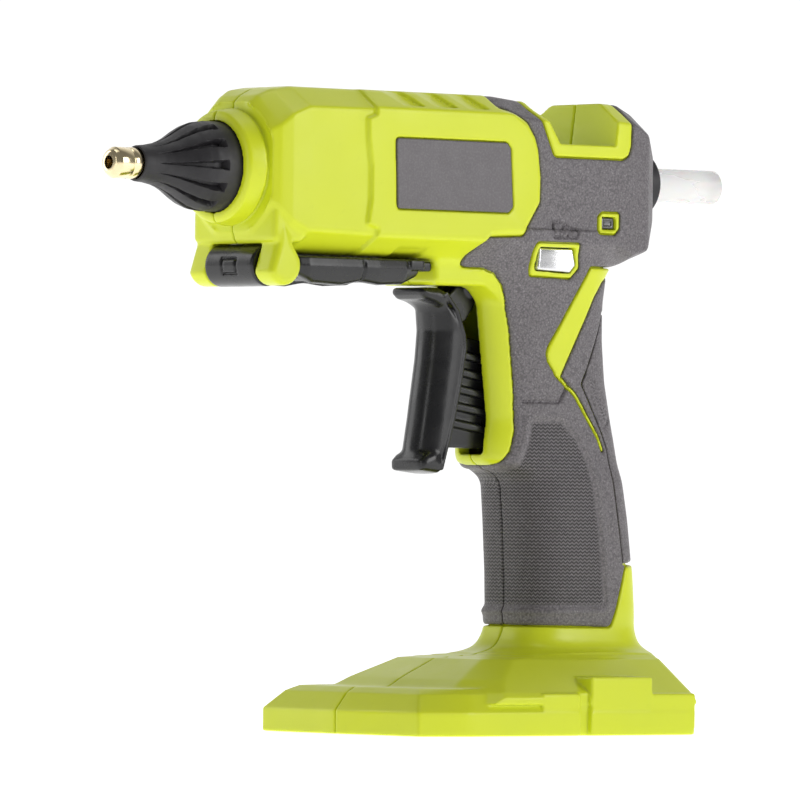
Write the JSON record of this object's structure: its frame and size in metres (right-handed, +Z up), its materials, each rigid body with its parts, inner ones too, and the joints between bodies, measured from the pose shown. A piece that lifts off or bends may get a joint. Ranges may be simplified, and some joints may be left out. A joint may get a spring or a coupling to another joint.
{
  "type": "cordless glue gun",
  "caption": "Hot glue gun with a clamshell body on a battery foot, a trigger that feeds the glue stick, a power button and a drip tray that folds out under the nozzle.",
  "frame": {"origin": "middle of the footprint box, on the plane the foot's rim rests on", "axes": "nozzle towards -X, glue stick out towards +X, power button on the -Y side, +Z up"},
  "size_m": [0.258, 0.088, 0.2078],
  "materials": {
    "lime_plastic": "moulded, satin",
    "charcoal_rubber": "fine leather grain",
    "black_plastic": "polished",
    "black_silicone": "satin",
    "brass": "turned",
    "steel": "plain",
    "aluminium": "machined",
    "glue": "translucent",
    "badge_grey": "smooth, matt",
    "silver_button": "metallic paint",
    "smoke_lens": "clear over dark",
    "circuit_board": "solder mask",
    "heat_insulator": "ceramic or glass fibre",
    "red_wire": "silicone jacket"
  },
  "bodies": {
    "housing": {"housing_left": "lime_plastic", "housing_right": "lime_plastic", "overmould_left": "charcoal_rubber", "overmould_right": "charcoal_rubber", "handle_backstrap": "badge_grey", "badge_left": "badge_grey", "badge_right": "badge_grey", "nozzle": "brass", "nozzle_boot": "black_silicone", "heating_chamber": "aluminium", "heater_element": "heat_insulator", "heater_clip": "steel", "thermal_fuse": "steel", "chamber_mount_rear": "heat_insulator", "chamber_mount_front": "heat_insulator", "inlet_sleeve": "black_silicone", "return_spring": "steel", "inlet_collar": "black_plastic", "trigger_pin": "steel", "control_board": "circuit_board", "button_switch": "black_plastic", "light_lens": "smoke_lens", "light_diode": "heat_insulator", "battery_terminal": "black_plastic", "contact_plus": "brass", "contact_data": "brass", "contact_minus": "brass", "wire_plus": "red_wire", "wire_minus": "black_plastic", "heater_lead_a": "red_wire", "heater_lead_b": "heat_insulator", "tray_hinge_pin": "steel", "housing_screw_1": "steel", "housing_screw_2": "steel", "housing_screw_3": "steel", "housing_screw_4": "steel", "housing_screw_5": "steel", "housing_screw_6": "steel"},
    "trigger": {"trigger": "black_plastic", "trigger_shield": "black_plastic", "drive_pin": "steel"},
    "carriage": {"feed_carriage": "black_plastic", "gripper_pin": "steel"},
    "jaw": {"gripper_jaw": "steel"},
    "stick": {"glue_stick": "glue"},
    "button": {"power_button": "silver_button"},
    "tray": {"drip_tray": "black_plastic"}
  },
  "joints": [
    {"name": "trigger_pull", "type": "hinge", "parent": "housing", "child": "trigger", "pos_m": [0.0205, 0, 0.146], "axis": [0, -1, 0], "range_deg": [0, 16], "stiffness_Nm_per_rad": 1, "springref_deg": -8.59},
    {"name": "carriage_feed", "type": "slide", "parent": "housing", "child": "carriage", "axis": [-1, 0, 0], "range_m": [0, 0.0068], "deforming": ["return_spring"]},
    {"name": "jaw_tilt", "type": "hinge", "parent": "carriage", "child": "jaw", "pos_m": [0.022, 0, 0.194], "axis": [0, -1, 0], "range_deg": [0, 4.1]},
    {"name": "stick_load", "type": "slide", "parent": "carriage", "child": "stick", "axis": [1, 0, 0], "range_m": [0, 0.15]},
    {"name": "button_press", "type": "slide", "parent": "housing", "child": "button", "axis": [0, 1, 0], "range_m": [0, 0.0013], "stiffness_N_per_m": 400, "springref_m": -0.002},
    {"name": "tray_fold", "type": "hinge", "parent": "housing", "child": "tray", "pos_m": [-0.073, 0, 0.1498], "axis": [0, 1, 0], "range_deg": [0, 180]}
  ],
  "couplings": [
    {"joint": "carriage_feed", "follows": "trigger_pull", "m_per_rad": 0.024},
    {"joint": "jaw_tilt", "follows": "trigger_pull", "ratio": 0.25}
  ]
}
